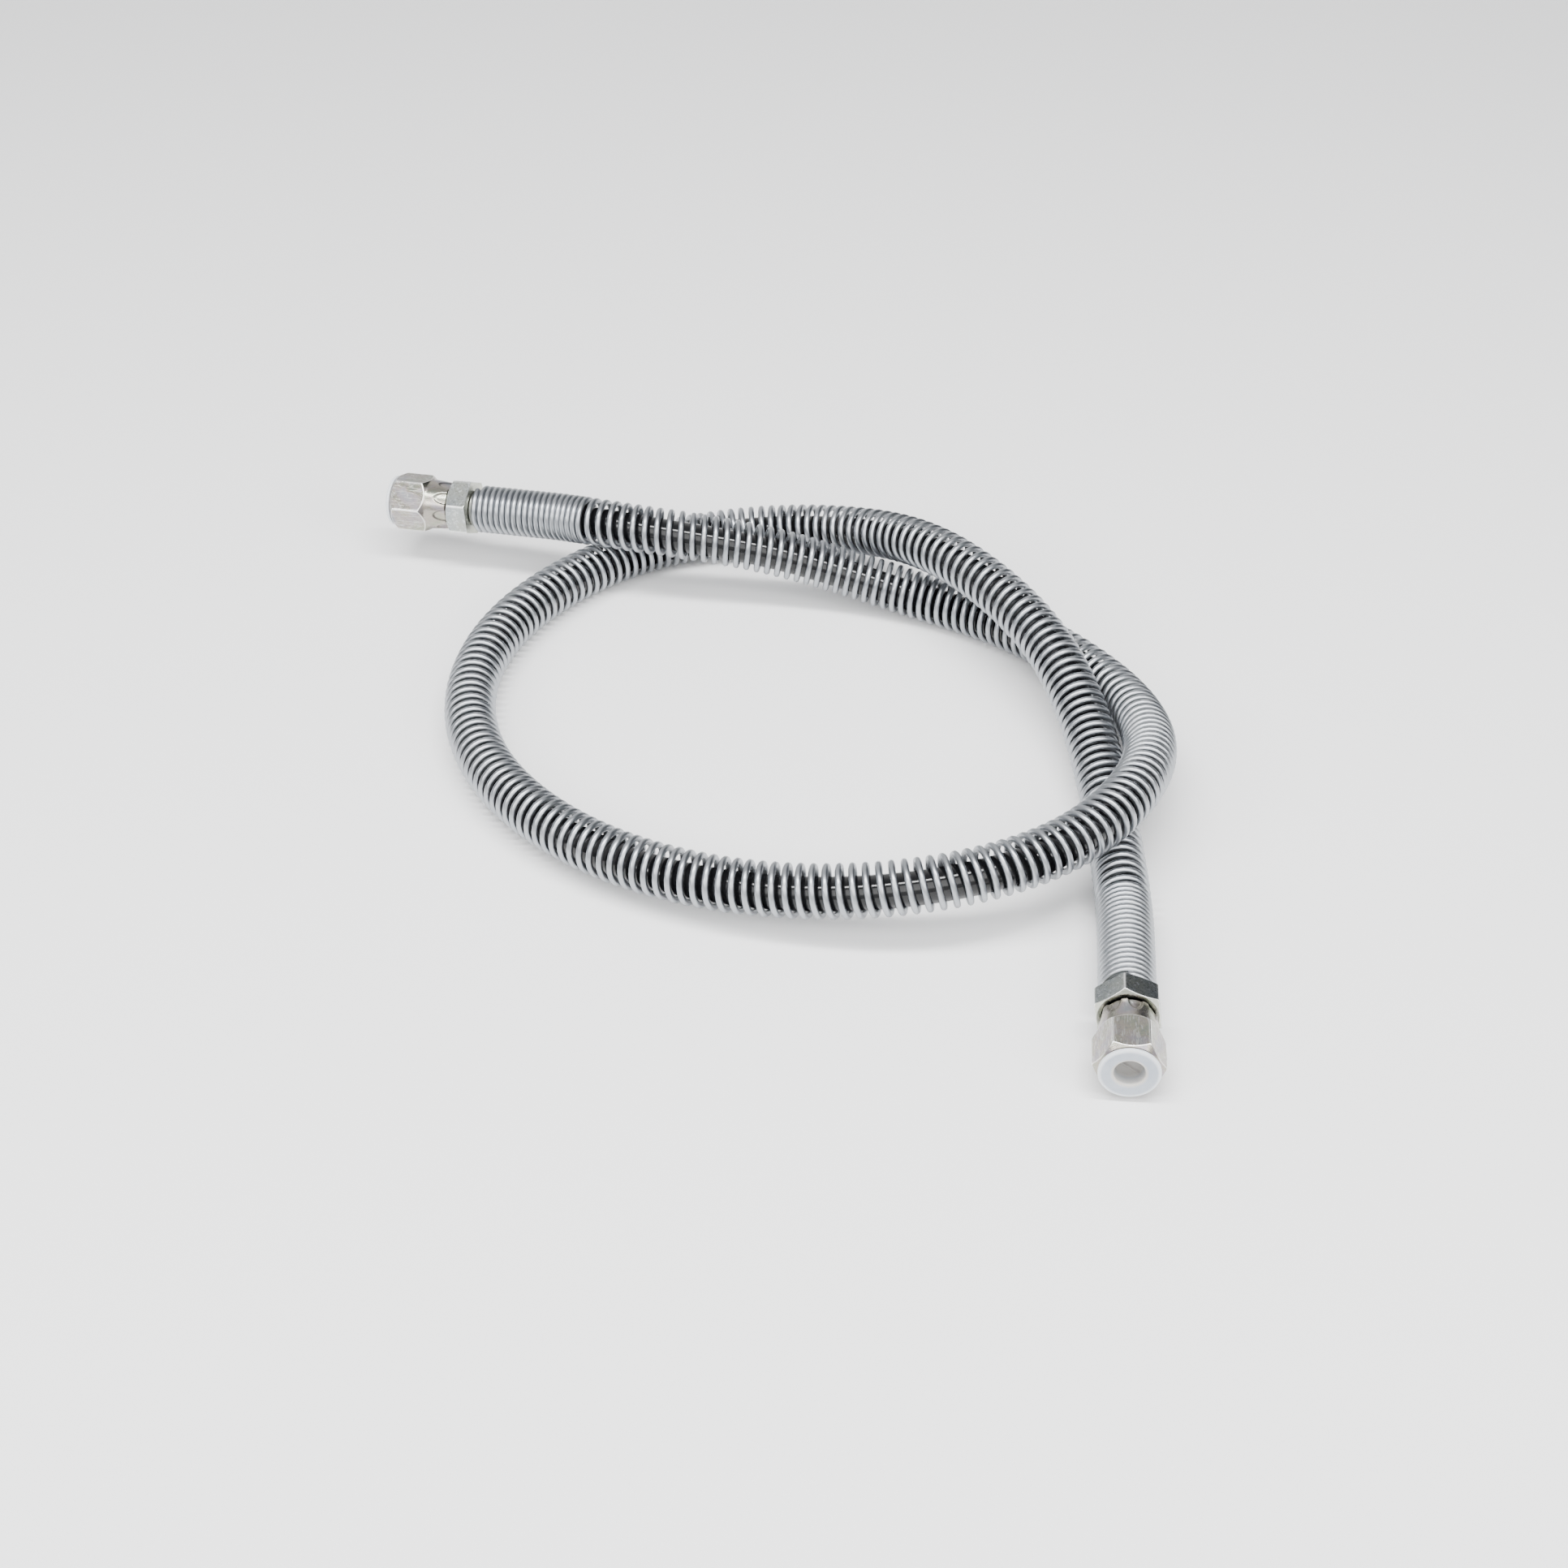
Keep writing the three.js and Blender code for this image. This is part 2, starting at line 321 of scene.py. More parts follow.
def tube_along(name, line, size, sides=40, step=3 * MM):
    """A pipe along a line. Its surface attribute holds the distance along and round it."""
    along = np.linspace(0, line.length, int(line.length / step) + 1)
    point, _, normal, binormal = line.frames(along)
    angles = round_angles(sides)
    spokes = np.cos(angles)[:, None] * normal[:, None] + np.sin(angles)[:, None] * binormal[:, None]
    layers, surfaces = [], []
    for radius, order in ((size["outer"] / 2, 1), (size["inner"] / 2, -1)):
        layers.append((point[:, None] + radius * spokes)[::order])
        surface = np.zeros(spokes.shape)
        surface[..., 0] = along[:, None]
        surface[..., 1] = radius * np.cos(angles)
        surface[..., 2] = radius * np.sin(angles)
        surfaces.append(surface[::order])
    return add_mesh(name, np.vstack(layers), wrap_rows=True, surface=np.vstack(surfaces))


# Spring guard -----------------------------------------------------------------------------------

CLOSED_PITCH = 2.6 * MM
CLOSED_TURNS = 19
OPENING = 5 * MM  # over which a close-wound end opens up
OPEN_PITCH = 4.6 * MM  # how far apart the loose turns have settled
UNEVEN = {"share": 0.06, "every": 240 * MM}  # the open turns bunch up and spread a little
TURN_SEGMENTS = 26
WIRE_SIDES = 12
REACH_STEPS = 40000  # places where the wire's turns are counted


def coil_turns(along):
    """How many turns the wire has made at each distance: close-wound ends and an open middle."""
    closed = CLOSED_TURNS * CLOSED_PITCH
    from_end = np.minimum(along, guard_line.length - along)
    opened = smooth_step((from_end - closed) / OPENING)
    wave = np.sin(2 * math.pi * along / UNEVEN["every"])
    pitch = CLOSED_PITCH + (OPEN_PITCH * (1 + UNEVEN["share"] * wave) - CLOSED_PITCH) * opened
    per_metre = 1 / pitch
    steps = np.diff(along) * (per_metre[1:] + per_metre[:-1]) / 2
    return np.concatenate([[0], np.cumsum(steps)])


def make_spring():
    reach = np.linspace(WIRE / 2, guard_line.length - WIRE / 2, REACH_STEPS)
    turns = coil_turns(reach)
    count = int(turns[-1] * TURN_SEGMENTS)
    turn = np.linspace(0, turns[-1], count + 1)
    along = np.interp(turn, turns, reach)
    point, _, normal, binormal = guard_line.frames(along)
    angle = (turn * 2 * math.pi)[:, None]
    spoke = np.cos(angle) * normal + np.sin(angle) * binormal
    wire = point + COIL_RADIUS * spoke
    heading = unit(np.gradient(wire, axis=0))
    side = unit(np.cross(heading, spoke))
    out = np.cross(side, heading)
    around = round_angles(WIRE_SIDES)
    ring = np.cos(around)[:, None] * out[:, None] + np.sin(around)[:, None] * side[:, None]
    wire_length = lengths_along(wire)
    surface = np.zeros(ring.shape)
    surface[..., 0] = wire_length[:, None]
    surface[..., 1] = WIRE / 2 * np.cos(around)
    surface[..., 2] = WIRE / 2 * np.sin(around)
    grid = wire[:, None] + WIRE / 2 * ring
    return add_mesh("guard_spring", grid, surface=surface)


# End fittings -----------------------------------------------------------------------------------

def end_matrix(end, turn=0.0):
    out = Vector(outward(end))
    sideways = Vector((0, 0, 1)).cross(out).normalized()
    upward = out.cross(sideways)
    axes = Matrix((sideways, upward, out)).transposed().to_4x4()
    return Matrix.Translation(end["at"]) @ axes @ Matrix.Rotation(turn, 4, "Z")


FLATS_PER_SIDE = 44
EDGE_WEAR = 0.35 * MM
CHAMFER_WEAR = 0.22 * MM
BORE = 2 * MM
TAIL_START = -24 * MM
BARBS = {"count": 6, "length": 3.6 * MM, "root": 2.45 * MM, "tip": 2.9 * MM}
COLLAR = {"start": 0.3 * MM, "end": 1.6 * MM, "radius": 6.2 * MM}
INSERT_BLANK = 12.85 * MM  # the round stock that the hexagon is cut from
FIXED_HEX_END = 10.7 * MM
INSERT_NECK = 5.6 * MM
SHOULDER = {"start": 22.9 * MM, "end": 24.4 * MM, "radius": 7.6 * MM}
GROOVE = {"start": 26.6 * MM, "end": 28.8 * MM, "radius": 5.75 * MM}
NOSE = {"end": 31.0 * MM, "radius": 6.2 * MM}
NUT_BLANK = 12.9 * MM
NUT = {"start": 11.5 * MM, "end": 37 * MM, "bore": 8.2 * MM, "neck_bore": 6 * MM}


def insert_profile():
    """Along and radius round the whole insert: tail, collar, hexagon, neck, cone, nose and bore."""
    root = BARBS["root"]
    tail = [(TAIL_START, BORE, 0)]
    for i in range(BARBS["count"]):
        start = TAIL_START + i * BARBS["length"]
        tail += [(start, root, 0), (start + 0.9 * BARBS["length"], BARBS["tip"], 0)]
    tail += [(-2.2 * MM, root, 0), (COLLAR["start"], root, 0)]
    collar = [
        (COLLAR["start"], COLLAR["radius"], 0.2 * MM), (COLLAR["end"], COLLAR["radius"], 0.15 * MM),
    ]
    hexagon = [
        (COLLAR["end"], 12.2 * MM, 0.2 * MM), (2.0 * MM, INSERT_BLANK, 0.2 * MM),
        (9.6 * MM, INSERT_BLANK, 0.2 * MM), (FIXED_HEX_END, 10.7 * MM, 0.35 * MM),
    ]
    neck = [
        (10.5 * MM, 8.0 * MM, 0.8 * MM), (FIXED_HEX_END, INSERT_NECK, 0.5 * MM),
        (SHOULDER["start"], INSERT_NECK, 0.3 * MM),
    ]
    cone = [
        (SHOULDER["start"], SHOULDER["radius"], 0.25 * MM),
        (SHOULDER["end"], SHOULDER["radius"], 0.3 * MM),
        (GROOVE["start"], 7.13 * MM, 0.12 * MM), (GROOVE["start"], GROOVE["radius"], 0.12 * MM),
        (GROOVE["end"], GROOVE["radius"], 0.12 * MM), (GROOVE["end"], 6.67 * MM, 0.12 * MM),
        (NOSE["end"], NOSE["radius"], 0.3 * MM), (NOSE["end"], BORE, 0.3 * MM),
        (TAIL_START, BORE, 0),
    ]
    fine = rounded(collar + hexagon + neck[:1], step=0.12 * MM)
    behind = rounded(tail + collar[:1], step=2 * MM)[:-1]
    ahead = rounded(neck + cone, step=1.2 * MM)[1:-1]
    return np.vstack([behind, fine, ahead])


def add_hex_mesh(name, profile, dents=None, thread=None):
    """A turned profile whose outside is cut down to a hexagon where it stands past the flats."""
    angles = hex_angles(FLATS_PER_SIDE)
    along = profile[:, 0]
    radius = np.repeat(profile[:, 1:2], len(angles), axis=1)
    hexagon = hex_radius(angles, EDGE_WEAR)[None]
    turned = smooth_step((hexagon - radius) / (0.3 * MM) + 0.5)
    from_corner = HEX_CORNER - EDGE_WEAR / 4 - hexagon
    corners = np.exp(-((from_corner / (0.18 * MM)) ** 2)) * (radius > hexagon - 0.3 * MM)
    rims = np.exp(-(((hexagon - radius) / (0.16 * MM)) ** 2))
    worn = np.clip(corners + rims, 0, 1)
    radius = smooth_min(radius, hexagon, CHAMFER_WEAR)
    # painted shade: below 9.6 mm radius, in the narrow gap between the fixed hexagon and the nut, the
    # mask darkens the base
    in_gap = (along > FIXED_HEX_END - 0.4 * MM) & (along < NUT["start"] + 0.5 * MM)
    painted_shade = smooth_step((9.6 * MM - radius) / (0.5 * MM)) * in_gap[:, None]
    if dents is not None:
        depth = dents(along, radius, angles)
        radius = radius - depth
        share = depth / DENT["depth"]
        # painted shade on the slopes of each crimp dent, strongest halfway down
        painted_shade = np.maximum(painted_shade, 3 * share * (1 - share))
    if thread is not None:
        radius = radius + thread(along, radius, angles)
    masks = {"turned": turned, "worn": worn, "painted_shade": painted_shade}
    return add_mesh(name, polar_grid(along, radius, angles), wrap_rows=True, masks=masks)


def make_insert(prefix):
    return add_hex_mesh(f"{prefix}_hose_insert", insert_profile())


THREAD_PITCH = 1.5 * MM
THREAD_DEPTH = 0.8 * MM
DENT_COUNT = 8
DENT = {"depth": 0.6 * MM, "half_width": 2.9 * MM, "length": 6.0 * MM}
DENT_TURN = math.radians(4.5)


def nut_profile():
    """Along and radius round the whole nut: neck, shoulder, hexagon, front, bore and back."""
    start, end, bore, neck_bore = NUT["start"], NUT["end"], NUT["bore"], NUT["neck_bore"]
    lead_in = 6.4 * MM
    neck_end, hex_start, hex_end = 18.5 * MM, 24.4 * MM, 34.0 * MM
    neck = [(start, lead_in, 0), (start, 9.85 * MM, 0.6 * MM), (neck_end, 10.45 * MM, 0)]
    shoulder = [
        (neck_end, 10.45 * MM, 0), (20.9 * MM, 10.65 * MM, 1.6 * MM),
        (23.4 * MM, NUT_BLANK, 0.3 * MM), (hex_start, NUT_BLANK, 0),
    ]
    front = [
        (hex_end, NUT_BLANK, 0), (34.7 * MM, NUT_BLANK, 0.3 * MM), (end, 10.5 * MM, 0.35 * MM),
        (end, 9.1 * MM, 0.15 * MM), (end - 0.9 * MM, bore, 0),
    ]
    inside = [
        (end - 0.9 * MM, bore, 0), (24.6 * MM, bore, 0.1 * MM),
        (24.0 * MM, 8.9 * MM, 0.1 * MM), (22.9 * MM, 8.9 * MM, 0.2 * MM),
        (22.3 * MM, bore, 0.1 * MM), (22.3 * MM, neck_bore, 0.2 * MM),
        (12.3 * MM, neck_bore, 0.1 * MM), (start, lead_in, 0),
    ]
    return np.vstack([
        rounded(neck, step=0.25 * MM),
        rounded(shoulder, step=0.12 * MM)[1:],
        rounded([(hex_start, NUT_BLANK), (hex_end, NUT_BLANK)], step=2 * MM)[1:],
        rounded(front, step=0.1 * MM)[1:],
        rounded(inside, step=0.17 * MM)[1:-1],
    ])


def nut_dents(along, radius, angles):
    """The rounded marks of the crimp round the rear of the nut's neck."""
    pitch = 2 * math.pi / DENT_COUNT
    off = (angles - DENT_TURN + pitch / 2) % pitch - pitch / 2
    across = radius * off / DENT["half_width"]
    lengthways = ((along - NUT["start"]) / DENT["length"])[:, None]
    bowl = np.clip(1 - across**2 - lengthways**2, 0, 1)
    on_outside = (radius > 9.0 * MM) & (along < 20 * MM)[:, None]
    return np.where(on_outside, DENT["depth"] * smooth_step(2.2 * bowl), 0)


def nut_thread(along, radius, angles):
    """A right-hand inside thread, cut into the wall of the bore and run out at both ends."""
    phase = along[:, None] / THREAD_PITCH - angles / (2 * math.pi)
    tooth = np.clip(1.25 - 2.5 * np.abs(phase % 1 - 0.5) * 2, 0, 1)
    run_out = smooth_step((along - 24.7 * MM) / (1.2 * MM)) * smooth_step(
        (NUT["end"] - 0.6 * MM - along) / (1.5 * MM)
    )
    in_bore = np.abs(radius - NUT["bore"]) < 0.25 * MM
    return np.where(in_bore, THREAD_DEPTH * tooth * run_out[:, None], 0)


def make_nut(prefix):
    return add_hex_mesh(f"{prefix}_nut", nut_profile(), dents=nut_dents, thread=nut_thread)


def make_ferrule(prefix):
    """A thin sleeve with crimped rings, round the hose and inside the guard."""
    outer, inner = 7.45 * MM, 6.65 * MM
    start, end = -26 * MM, 1.3 * MM
    ring_count, ring_pitch, ring_depth = 5, 4.4 * MM, 0.18 * MM
    profile = [(start, inner, 0), (start, outer, 0.25 * MM)]
    for i in range(ring_count):
        place = start + 3.2 * MM + i * ring_pitch
        profile += [
            (place, outer, 0.4 * MM), (place + 0.8 * MM, outer - ring_depth, 0.4 * MM),
            (place + 2.2 * MM, outer - ring_depth, 0.4 * MM), (place + 3 * MM, outer, 0.4 * MM),
        ]
    profile += [(end, outer, 0.2 * MM), (end, inner, 0.1 * MM), (start, inner, 0)]
    return lathe(f"{prefix}_crimp_ferrule", rounded(profile, step=1.5 * MM)[:-1])


def make_o_ring(prefix):
    section, radius, place = 0.7 * MM, 6.75 * MM, 27.7 * MM
    turn = round_angles(24)
    profile = np.stack([place + section * np.sin(turn), radius + section * np.cos(turn)], axis=1)
    return lathe(f"{prefix}_seal_ring", profile)


PLUG = {"start": 33.4 * MM, "stub": 7.8 * MM, "flange": 10.65 * MM, "flange_start": 37.3 * MM}
PLUG_END = 38.8 * MM
RECESS_FLOOR = 34.5 * MM


def plug_profile():
    start, stub, flange_start = PLUG["start"], PLUG["stub"], PLUG["flange_start"]
    flange, groove = PLUG["flange"], stub - 0.45 * MM
    return rounded([
        (start, 0.2 * MM, 0), (start, groove - 0.3 * MM, 0.3 * MM),
        (start + 0.7 * MM, stub, 0.25 * MM), (start + 1.4 * MM, groove, 0.3 * MM),
        (start + 2.1 * MM, stub, 0.25 * MM), (start + 2.8 * MM, groove, 0.3 * MM),
        (flange_start, groove, 0.25 * MM), (flange_start, flange, 0.45 * MM),
        (PLUG_END - 0.1 * MM, flange, 0.6 * MM), (PLUG_END, flange - 1.4 * MM, 0.5 * MM),
        (PLUG_END - 0.12 * MM, 6.4 * MM, 0.6 * MM), (PLUG_END - 0.5 * MM, 5.35 * MM, 0.7 * MM),
        (RECESS_FLOOR, 4.75 * MM, 0.9 * MM), (RECESS_FLOOR, 0.2 * MM, 0),
    ], step=0.35 * MM, arc_steps=6)


def make_plug(prefix):
    """A push-in cap with a wide flange, two sealing ribs and a low rib across its recess."""
    profile = plug_profile()
    angles = round_angles(112)
    radius = np.repeat(profile[:, 1:2], len(angles), axis=1)
    along = np.repeat(profile[:, 0:1], len(angles), axis=1)
    rib_turn, rib_offset = math.radians(-35), -0.4 * MM
    from_rib = radius * np.sin(angles - rib_turn) - rib_offset
    in_recess = smooth_step((4.7 * MM - radius) / (0.6 * MM)) * (along > RECESS_FLOOR - 0.1 * MM)
    along = along + 0.7 * MM * np.exp(-((from_rib / (0.45 * MM)) ** 2)) * in_recess
    return add_mesh(f"{prefix}_cap_plug", polar_grid(along, radius, angles))


# Materials --------------------------------------------------------------------------------------

class Shader:
    """A material's node tree with a Principled shader, and short calls that add nodes to it."""

    def __init__(self, name, **values):
        self.material = bpy.data.materials.new(name)
        self.material.use_nodes = True
        self.tree = self.material.node_tree
        self.surface = self.tree.nodes["Principled BSDF"]
        self.set(**values)

    def set(self, **values):
        for key, value in values.items():
            self._give(self.surface.inputs[key.replace("_", " ")], value)

    def _give(self, socket, value):
        if isinstance(value, bpy.types.NodeSocket):
            self.tree.links.new(value, socket)
        else:
            socket.default_value = value

    def node(self, kind, inputs=None, **settings):
        made = self.tree.nodes.new(kind)
        for key, value in settings.items():
            setattr(made, key, value)
        for key, value in (inputs or {}).items():
            self._give(made.inputs[key], value)
        return made

    def attribute(self, name, output="Vector"):
        return self.node("ShaderNodeAttribute", attribute_name=name).outputs[output]

    def scaled(self, vector, scale):
        return self.node(
            "ShaderNodeMapping", {"Vector": vector, "Scale": scale}
        ).outputs["Vector"]

    def noise(self, vector, scale, detail=3.0, roughness=0.5, distortion=0.0):
        return self.node("ShaderNodeTexNoise", {
            "Vector": vector, "Scale": scale, "Detail": detail, "Roughness": roughness,
            "Distortion": distortion,
        }).outputs["Fac"]

    def ramp(self, value, stops):
        made = self.node("ShaderNodeValToRGB", {"Fac": value})
        elements = made.color_ramp.elements
        while len(elements) < len(stops):
            elements.new(0.5)
        for element, (place, colour) in zip(elements, stops):
            element.position = place
            element.color = colour if len(colour) == 4 else (*colour, 1)
        return made.outputs["Color"]

    def spread(self, value, low, high, start=0.3, stop=0.7):
        return self.node("ShaderNodeMapRange", {
            "Value": value, "From Min": start, "From Max": stop, "To Min": low, "To Max": high,
        }).outputs["Result"]

    def mix(self, factor, a, b, blend="MIX"):
        made = self.node("ShaderNodeMix", data_type="RGBA", blend_type=blend)
        self._give(made.inputs[0], factor)
        self._give(made.inputs[6], a)
        self._give(made.inputs[7], b)
        return made.outputs[2]

    def math(self, operation, a, b=0.0):
        made = self.node("ShaderNodeMath", operation=operation)
        self._give(made.inputs[0], a)
        self._give(made.inputs[1], b)
        return made.outputs[0]

    def bump(self, height, distance, strength=1.0, after=None):
        inputs = {"Height": height, "Distance": distance, "Strength": strength}
        if after is not None:
            inputs["Normal"] = after
        return self.node("ShaderNodeBump", inputs).outputs["Normal"]


def colour(red, green, blue):
    return (red, green, blue, 1)


def scratches(shader, vector, turn, scale, thin):
    """Fine straight marks along one direction, as a mask that is 1 on them."""
    turned = shader.node("ShaderNodeMapping", {
        "Vector": vector, "Rotation": turn, "Scale": scale,
    }).outputs["Vector"]
    streaks = shader.noise(turned, 1.0, detail=2.0, roughness=0.6, distortion=0.4)
    return shader.ramp(streaks, [(thin, colour(0, 0, 0)), (thin + 0.06, colour(1, 1, 1))])


def wire_material():
    """Bright zinc on drawn spring wire: fine lines along the wire and soft cloudy patches."""
    shader = Shader("spring_wire_zinc", Metallic=1.0)
    surface = shader.attribute("surface")
    drawn = shader.noise(shader.scaled(surface, (60, 9000, 9000)), 1.0, detail=4.0)
    cloudy = shader.noise(surface, 220.0, detail=3.0)
    specks = shader.noise(surface, 2600.0, detail=2.0, roughness=0.7)
    base = shader.ramp(cloudy, [
        (0.30, colour(0.345, 0.365, 0.39)), (0.52, colour(0.38, 0.395, 0.415)),
        (0.72, colour(0.41, 0.425, 0.44)),
    ])
    streaked = shader.mix(shader.spread(drawn, 0.0, 0.25), base, colour(0.30, 0.32, 0.345))
    shader.set(
        Base_Color=shader.mix(shader.spread(specks, 0.0, 0.25, 0.55, 0.75), streaked,
                              colour(0.48, 0.49, 0.50)),
        Roughness=shader.spread(shader.math("ADD", drawn, cloudy), 0.31, 0.38, 0.7, 1.3),
    )
    shader.set(Normal=shader.bump(drawn, 0.004 * MM, 0.3))
    return shader.material


def nut_material():
    """Passivated zinc: faint straw and violet tints, tool marks, scratches and bright worn edges."""
    shader = Shader("nut_passivated_zinc", Metallic=1.0)
    place = shader.attribute("surface")
    turned = shader.attribute("turned", "Fac")
    cloud = shader.noise(place, 95.0, detail=2.0, distortion=0.8)
    tint = shader.ramp(cloud, [
        (0.28, colour(0.25, 0.285, 0.245)), (0.40, colour(0.32, 0.325, 0.25)),
        (0.50, colour(0.38, 0.335, 0.29)), (0.60, colour(0.35, 0.30, 0.335)),
        (0.72, colour(0.275, 0.295, 0.33)),
    ])
    base = shader.mix(0.8, colour(0.29, 0.295, 0.255), tint)
    grain = shader.noise(place, 2200.0, detail=3.0, roughness=0.7)
    blotches = shader.noise(place, 620.0, detail=3.0, roughness=0.65, distortion=1.2)
    lathe_lines = shader.noise(shader.scaled(place, (60, 60, 5200)), 1.0, detail=3.0)
    first = scratches(shader, place, (0.3, 0.2, 0.7), (260, 2600, 260), 0.57)
    second = scratches(shader, place, (-0.4, 0.5, -0.9), (2400, 240, 240), 0.58)
    marks = shader.math("MAXIMUM", first, second)
    flat_marks = shader.math("MULTIPLY", marks, shader.spread(turned, 0.75, 0.2, 0.0, 1.0))
    dull = shader.math("MULTIPLY", shader.spread(blotches, 0.0, 0.5, 0.50, 0.64),
                       shader.spread(turned, 1.0, 0.2, 0.0, 1.0))
    base = shader.mix(dull, base, colour(0.18, 0.20, 0.205))
    base = shader.mix(flat_marks, base, colour(0.52, 0.52, 0.50))
    base = shader.mix(shader.spread(grain, 0.0, 0.35, 0.5, 0.75), base, colour(0.22, 0.235, 0.225))
    # painted shade: the base goes near-black in the gap behind the nut and on the dent slopes
    base = shader.mix(shader.attribute("painted_shade", "Fac"), base, colour(0.06, 0.06, 0.055))
    worn = shader.math("MULTIPLY", shader.attribute("worn", "Fac"), 0.85)
    shader.set(
        Base_Color=shader.mix(worn, base, colour(0.90, 0.89, 0.86)),
        Roughness=shader.spread(cloud, 0.22, 0.32),
    )
    lines = shader.math("MULTIPLY", lathe_lines, turned)
    tooled = shader.bump(lines, 0.05 * MM, 0.5)
    grained = shader.bump(grain, 0.02 * MM, 0.5, after=tooled)
    shader.set(Normal=shader.bump(flat_marks, -0.02 * MM, 0.5, after=grained))
    return shader.material


def insert_material():
    """Satin zinc on bar stock: a fine speckle with scattered bright pits and rubbed edges."""
    shader = Shader("insert_satin_zinc", Metallic=1.0)
    place = shader.attribute("surface")
    turned = shader.attribute("turned", "Fac")
    grain = shader.noise(place, 1500.0, detail=4.0, roughness=0.75)
    cloud = shader.noise(place, 110.0, detail=2.0, distortion=0.5)
    pits = shader.noise(place, 760.0, detail=3.0, roughness=0.7, distortion=0.6)
    base = shader.ramp(cloud, [
        (0.30, colour(0.32, 0.345, 0.35)), (0.55, colour(0.36, 0.38, 0.36)),
        (0.75, colour(0.385, 0.395, 0.345)),
    ])
    base = shader.mix(shader.spread(grain, 0.0, 0.45, 0.45, 0.7), base, colour(0.29, 0.31, 0.325))
    base = shader.mix(shader.spread(pits, 0.0, 0.7, 0.54, 0.66), base, colour(0.70, 0.72, 0.74))
    base = shader.mix(shader.math("MULTIPLY", turned, 0.6), base, colour(0.56, 0.565, 0.46))
    worn = shader.math("MULTIPLY", shader.attribute("worn", "Fac"), 0.8)
    lathe_lines = shader.noise(shader.scaled(place, (60, 60, 4200)), 1.0, detail=3.0)
    # painted shade: the base goes near-black on the neck in the gap between the hexagon and the nut
    shader.set(
        Base_Color=shader.mix(
            shader.attribute("painted_shade", "Fac"), shader.mix(worn, base, colour(0.92, 0.92, 0.90)),
            colour(0.05, 0.05, 0.045),
        ),
        Roughness=shader.spread(grain, 0.24, 0.36),
    )
    tooled = shader.bump(shader.math("MULTIPLY", lathe_lines, turned), 0.04 * MM, 0.5)
    shader.set(Normal=shader.bump(grain, 0.02 * MM, 0.5, after=tooled))
    return shader.material


def ferrule_material():
    """Duller zinc on the pressed sleeve."""
    shader = Shader("ferrule_dull_zinc", Metallic=1.0)
    place = shader.attribute("surface")
    grain = shader.noise(place, 1300.0, detail=4.0, roughness=0.7)
    drawn = shader.noise(shader.scaled(place, (900, 900, 60)), 1.0, detail=3.0)
    base = shader.ramp(drawn, [
        (0.30, colour(0.31, 0.32, 0.32)), (0.70, colour(0.42, 0.425, 0.42)),
    ])
    shader.set(Base_Color=base, Roughness=shader.spread(grain, 0.34, 0.52))
    shader.set(Normal=shader.bump(grain, 0.03 * MM, 0.6))
    return shader.material


def cover_material():
    """A smooth black thermoplastic cover: wet gloss, faint extrusion lines, a few dull rubs."""
    shader = Shader(
        "hose_cover_black", Coat_Weight=0.15, Coat_Roughness=0.05, Specular_IOR_Level=0.35,
    )
    surface = shader.attribute("surface")
    lines = shader.noise(shader.scaled(surface, (12, 1400, 1400)), 1.0, detail=3.0)
    rubs = shader.noise(surface, 130.0, detail=3.0, roughness=0.6)
    base = shader.ramp(rubs, [
        (0.35, colour(0.004, 0.004, 0.005)), (0.70, colour(0.009, 0.009, 0.010)),
    ])
    shader.set(Base_Color=base, Roughness=shader.spread(rubs, 0.08, 0.15))
    shader.set(Normal=shader.bump(lines, 0.006 * MM, 0.3))
    return shader.material


def braid_material():
    """Two sets of strands that wind round the liner in opposite directions."""
    shader = Shader("reinforcing_braid", Roughness=0.75, Sheen_Weight=0.15)
    surface = shader.attribute("surface")
    parts = shader.node("ShaderNodeSeparateXYZ", {"Vector": surface}).outputs
    around = shader.math("ARCTAN2", parts["Z"], parts["Y"])
    strands, lay = 12.0, 32 * MM
    along = shader.math("MULTIPLY", parts["X"], 2 * math.pi / lay)
    ribs = []
    for operation in ("ADD", "SUBTRACT"):
        lean = shader.math("MULTIPLY", shader.math(operation, around, along), strands)
        ribs.append(shader.math("SINE", lean))
    height = shader.math("MAXIMUM", ribs[0], ribs[1])
    # painted shade: the base is darkest down between the strands and lightest on their crests
    base = shader.ramp(shader.spread(height, 0.0, 1.0, -0.4, 1.0), [
        (0.0, colour(0.16, 0.13, 0.08)), (0.5, colour(0.42, 0.36, 0.25)),
        (1.0, colour(0.62, 0.55, 0.42)),
    ])
    fibres = shader.noise(shader.scaled(surface, (2500, 2500, 2500)), 1.0, detail=3.0)
    base = shader.mix(shader.spread(fibres, 0.0, 0.4), base, colour(0.70, 0.64, 0.52))
    shader.set(Base_Color=base, Normal=shader.bump(height, 0.15 * MM, 0.8))
    return shader.material


def rubber_material(name, shade, rough):
    """Matte black rubber with a fine moulded grain."""
    shader = Shader(name)
    place = shader.attribute("surface")
    grain = shader.noise(place, 1800.0, detail=3.0, roughness=0.6)
    cloud = shader.noise(place, 260.0, detail=2.0)
    base = shader.ramp(cloud, [
        (0.30, colour(shade, shade, shade)), (0.70, colour(1.8 * shade, 1.8 * shade, 1.9 * shade)),
    ])
    shader.set(Base_Color=base, Roughness=shader.spread(grain, rough - 0.08, rough + 0.08))
    shader.set(Normal=shader.bump(grain, 0.04 * MM, 0.5))
    return shader.material


